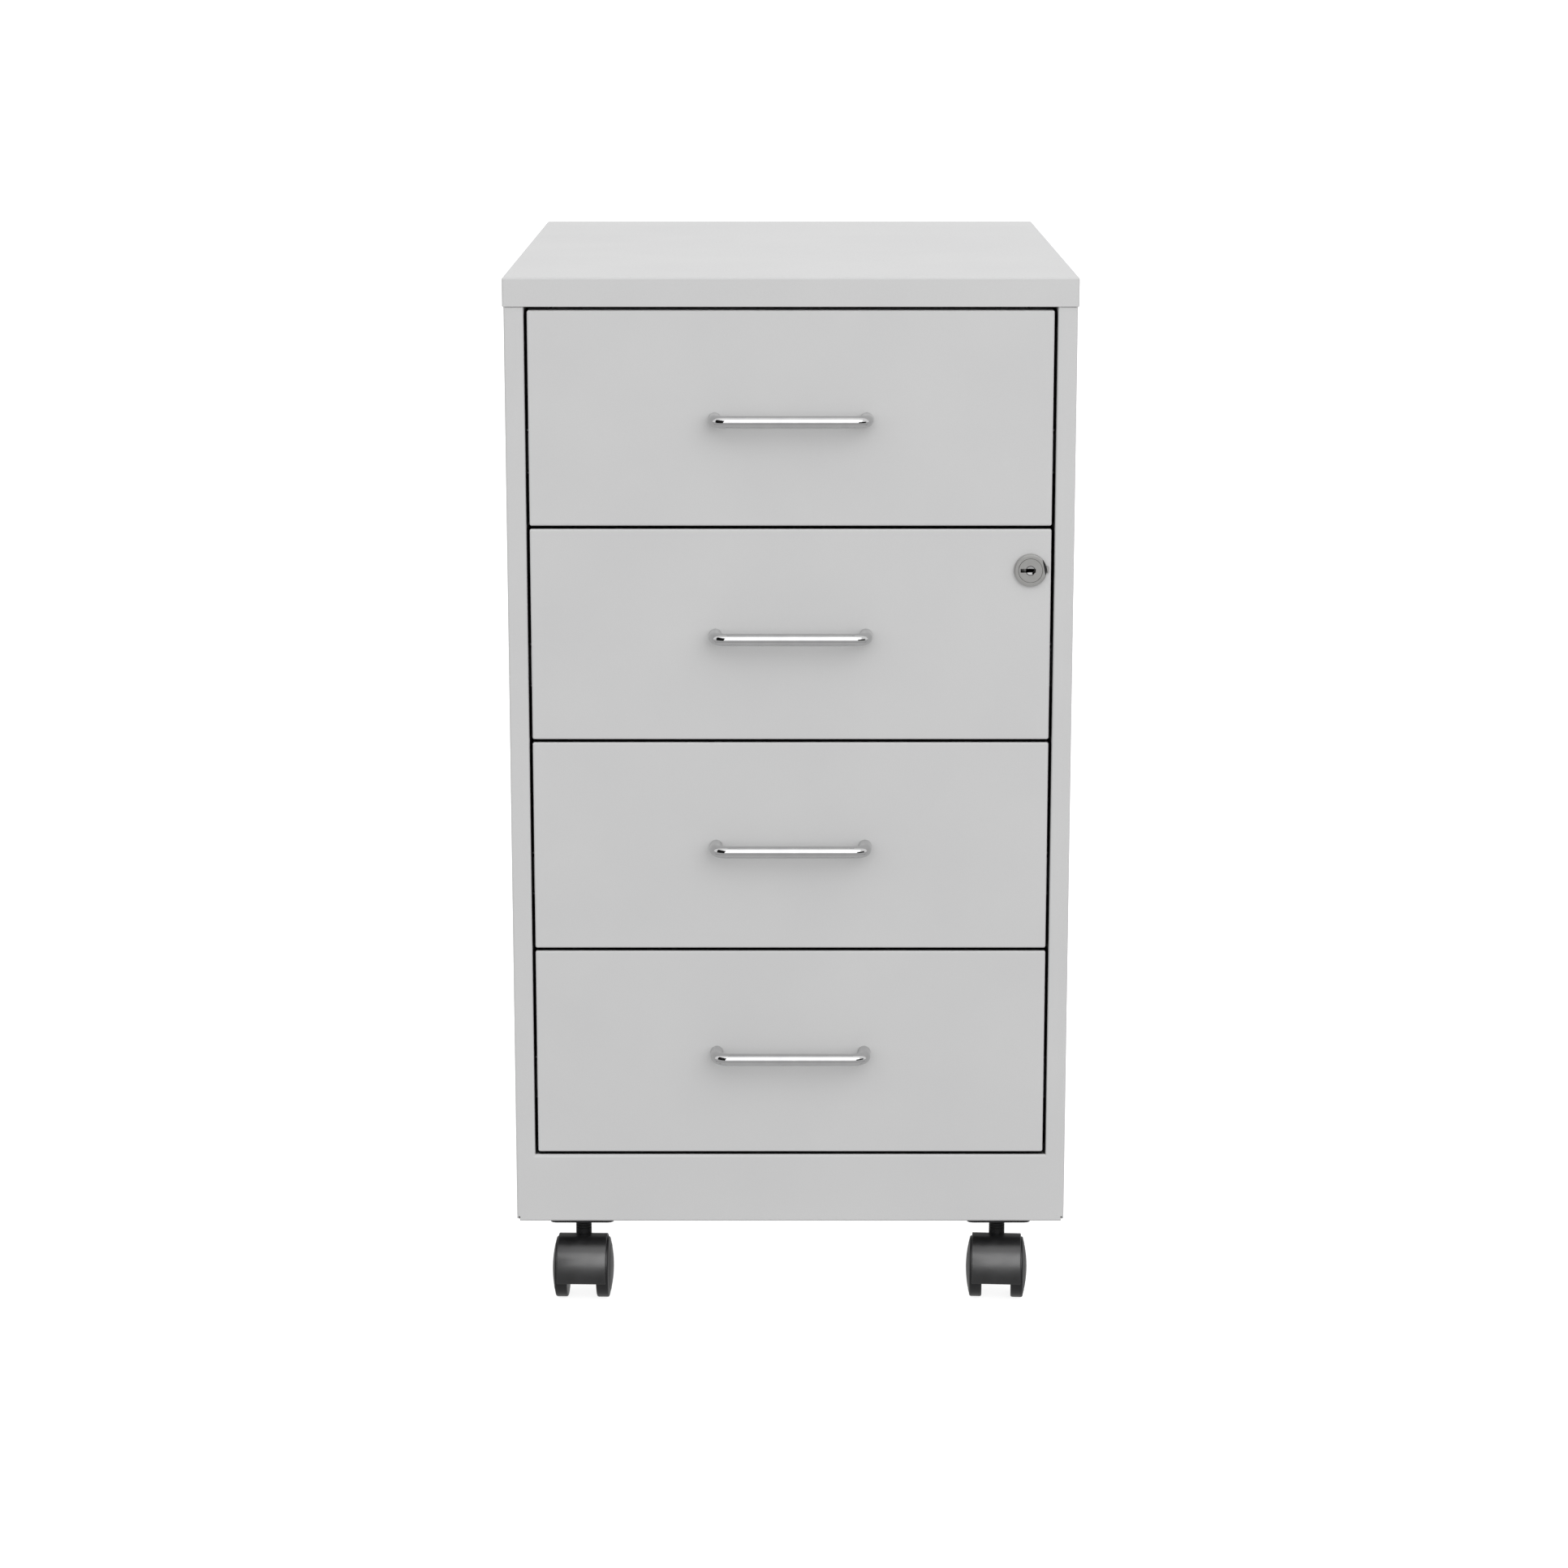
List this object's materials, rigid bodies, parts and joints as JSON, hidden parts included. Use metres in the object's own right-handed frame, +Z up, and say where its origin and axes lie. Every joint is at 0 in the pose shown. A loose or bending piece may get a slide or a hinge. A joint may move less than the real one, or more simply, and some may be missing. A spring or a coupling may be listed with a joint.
{
  "type": "metal filing cabinet",
  "caption": "Narrow mobile filing cabinet of folded, powder-coated sheet steel: stacked drawers on telescopic slides, wire pulls, a cam lock and swivel casters with hooded wheels.",
  "frame": {"origin": "on the floor, halfway between the two sides and halfway between the outermost face of the pulls and the back of the top cap", "axes": "+Z up, the drawer fronts face -Y, +X is to the right of someone who faces the drawers"},
  "size_m": [0.362, 0.4778, 0.6784],
  "materials": {
    "powder_coat": "light grey powder coat, fine orange-peel texture, satin",
    "zinc_plate": "bright zinc plate",
    "chrome": "polished chrome plate",
    "satin_nickel": "satin nickel",
    "black_nylon": "moulded black nylon, semi-gloss",
    "black_zinc": "black zinc plate"
  },
  "bodies": {
    "case": {"face_frame": "powder_coat", "left_side_panel": "powder_coat", "right_side_panel": "powder_coat", "top_cap": "powder_coat", "back_panel": "powder_coat", "bottom_pan": "powder_coat", "case_rail_left_1": "zinc_plate", "case_rail_right_1": "zinc_plate", "case_rail_left_2": "zinc_plate", "case_rail_right_2": "zinc_plate", "case_rail_left_3": "zinc_plate", "case_rail_right_3": "zinc_plate", "case_rail_left_4": "zinc_plate", "case_rail_right_4": "zinc_plate", "caster_plate_front_left": "black_zinc", "caster_plate_front_right": "black_zinc", "caster_plate_rear_left": "black_zinc", "caster_plate_rear_right": "black_zinc"},
    "drawer_1": {"drawer_front_1": "powder_coat", "drawer_box_1": "powder_coat", "pull_1": "chrome"},
    "slide_members_1": {"slide_member_left_1": "zinc_plate", "slide_member_right_1": "zinc_plate"},
    "drawer_2": {"drawer_front_2": "powder_coat", "drawer_box_2": "powder_coat", "pull_2": "chrome", "lock_housing": "satin_nickel", "lock_nut": "zinc_plate"},
    "slide_members_2": {"slide_member_left_2": "zinc_plate", "slide_member_right_2": "zinc_plate"},
    "drawer_3": {"drawer_front_3": "powder_coat", "drawer_box_3": "powder_coat", "pull_3": "chrome"},
    "slide_members_3": {"slide_member_left_3": "zinc_plate", "slide_member_right_3": "zinc_plate"},
    "drawer_4": {"drawer_front_4": "powder_coat", "drawer_box_4": "powder_coat", "pull_4": "chrome"},
    "slide_members_4": {"slide_member_left_4": "zinc_plate", "slide_member_right_4": "zinc_plate"},
    "lock": {"lock_plug": "satin_nickel", "lock_cam": "zinc_plate"},
    "caster_front_left": {"caster_hood_front_left": "black_nylon", "caster_axle_front_left": "zinc_plate"},
    "wheel_front_left_left": {"caster_wheel_front_left_left": "black_nylon"},
    "wheel_front_left_right": {"caster_wheel_front_left_right": "black_nylon"},
    "caster_front_right": {"caster_hood_front_right": "black_nylon", "caster_axle_front_right": "zinc_plate"},
    "wheel_front_right_left": {"caster_wheel_front_right_left": "black_nylon"},
    "wheel_front_right_right": {"caster_wheel_front_right_right": "black_nylon"},
    "caster_rear_left": {"caster_hood_rear_left": "black_nylon", "caster_axle_rear_left": "zinc_plate"},
    "wheel_rear_left_left": {"caster_wheel_rear_left_left": "black_nylon"},
    "wheel_rear_left_right": {"caster_wheel_rear_left_right": "black_nylon"},
    "caster_rear_right": {"caster_hood_rear_right": "black_nylon", "caster_axle_rear_right": "zinc_plate"},
    "wheel_rear_right_left": {"caster_wheel_rear_right_left": "black_nylon"},
    "wheel_rear_right_right": {"caster_wheel_rear_right_right": "black_nylon"}
  },
  "joints": [
    {"name": "drawer_1_slide", "type": "slide", "parent": "case", "child": "drawer_1", "axis": [0, -1, 0], "range_m": [0, 0.36]},
    {"name": "drawer_1_slide_members", "type": "slide", "parent": "case", "child": "slide_members_1", "axis": [0, -1, 0], "range_m": [0, 0.18]},
    {"name": "drawer_2_slide", "type": "slide", "parent": "case", "child": "drawer_2", "axis": [0, -1, 0], "range_m": [0, 0.36]},
    {"name": "drawer_2_slide_members", "type": "slide", "parent": "case", "child": "slide_members_2", "axis": [0, -1, 0], "range_m": [0, 0.18]},
    {"name": "drawer_3_slide", "type": "slide", "parent": "case", "child": "drawer_3", "axis": [0, -1, 0], "range_m": [0, 0.36]},
    {"name": "drawer_3_slide_members", "type": "slide", "parent": "case", "child": "slide_members_3", "axis": [0, -1, 0], "range_m": [0, 0.18]},
    {"name": "drawer_4_slide", "type": "slide", "parent": "case", "child": "drawer_4", "axis": [0, -1, 0], "range_m": [0, 0.36]},
    {"name": "drawer_4_slide_members", "type": "slide", "parent": "case", "child": "slide_members_4", "axis": [0, -1, 0], "range_m": [0, 0.18]},
    {"name": "lock_turn", "type": "hinge", "parent": "drawer_2", "child": "lock", "pos_m": [0.1524, -0.21745, 0.4926], "axis": [0, 1, 0], "range_deg": [0, 90]},
    {"name": "swivel_front_left", "type": "hinge", "parent": "case", "child": "caster_front_left", "pos_m": [-0.1375, -0.19445, 0.0385], "axis": [0, 0, 1], "continuous": true},
    {"name": "wheel_front_left_left_roll", "type": "hinge", "parent": "caster_front_left", "child": "wheel_front_left_left", "pos_m": [-0.1377, -0.20195, 0.02], "axis": [0.9997, -0.0262, 0], "continuous": true},
    {"name": "wheel_front_left_right_roll", "type": "hinge", "parent": "caster_front_left", "child": "wheel_front_left_right", "pos_m": [-0.1377, -0.20195, 0.02], "axis": [0.9997, -0.0262, 0], "continuous": true},
    {"name": "swivel_front_right", "type": "hinge", "parent": "case", "child": "caster_front_right", "pos_m": [0.1375, -0.19445, 0.0385], "axis": [0, 0, 1], "continuous": true},
    {"name": "wheel_front_right_left_roll", "type": "hinge", "parent": "caster_front_right", "child": "wheel_front_right_left", "pos_m": [0.13704, -0.20194, 0.02], "axis": [0.9981, -0.061, 0], "continuous": true},
    {"name": "wheel_front_right_right_roll", "type": "hinge", "parent": "caster_front_right", "child": "wheel_front_right_right", "pos_m": [0.13704, -0.20194, 0.02], "axis": [0.9981, -0.061, 0], "continuous": true},
    {"name": "swivel_rear_left", "type": "hinge", "parent": "case", "child": "caster_rear_left", "pos_m": [-0.1375, 0.18815, 0.0385], "axis": [0, 0, 1], "continuous": true},
    {"name": "wheel_rear_left_left_roll", "type": "hinge", "parent": "caster_rear_left", "child": "wheel_rear_left_left", "pos_m": [-0.1375, 0.18065, 0.02], "axis": [1, 0, 0], "continuous": true},
    {"name": "wheel_rear_left_right_roll", "type": "hinge", "parent": "caster_rear_left", "child": "wheel_rear_left_right", "pos_m": [-0.1375, 0.18065, 0.02], "axis": [1, 0, 0], "continuous": true},
    {"name": "swivel_rear_right", "type": "hinge", "parent": "case", "child": "caster_rear_right", "pos_m": [0.1375, 0.18815, 0.0385], "axis": [0, 0, 1], "continuous": true},
    {"name": "wheel_rear_right_left_roll", "type": "hinge", "parent": "caster_rear_right", "child": "wheel_rear_right_left", "pos_m": [0.1375, 0.18065, 0.02], "axis": [1, 0, 0], "continuous": true},
    {"name": "wheel_rear_right_right_roll", "type": "hinge", "parent": "caster_rear_right", "child": "wheel_rear_right_right", "pos_m": [0.1375, 0.18065, 0.02], "axis": [1, 0, 0], "continuous": true}
  ],
  "couplings": [
    {"joint": "drawer_1_slide_members", "follows": "drawer_1_slide", "ratio": 0.5},
    {"joint": "drawer_2_slide_members", "follows": "drawer_2_slide", "ratio": 0.5},
    {"joint": "drawer_3_slide_members", "follows": "drawer_3_slide", "ratio": 0.5},
    {"joint": "drawer_4_slide_members", "follows": "drawer_4_slide", "ratio": 0.5}
  ]
}
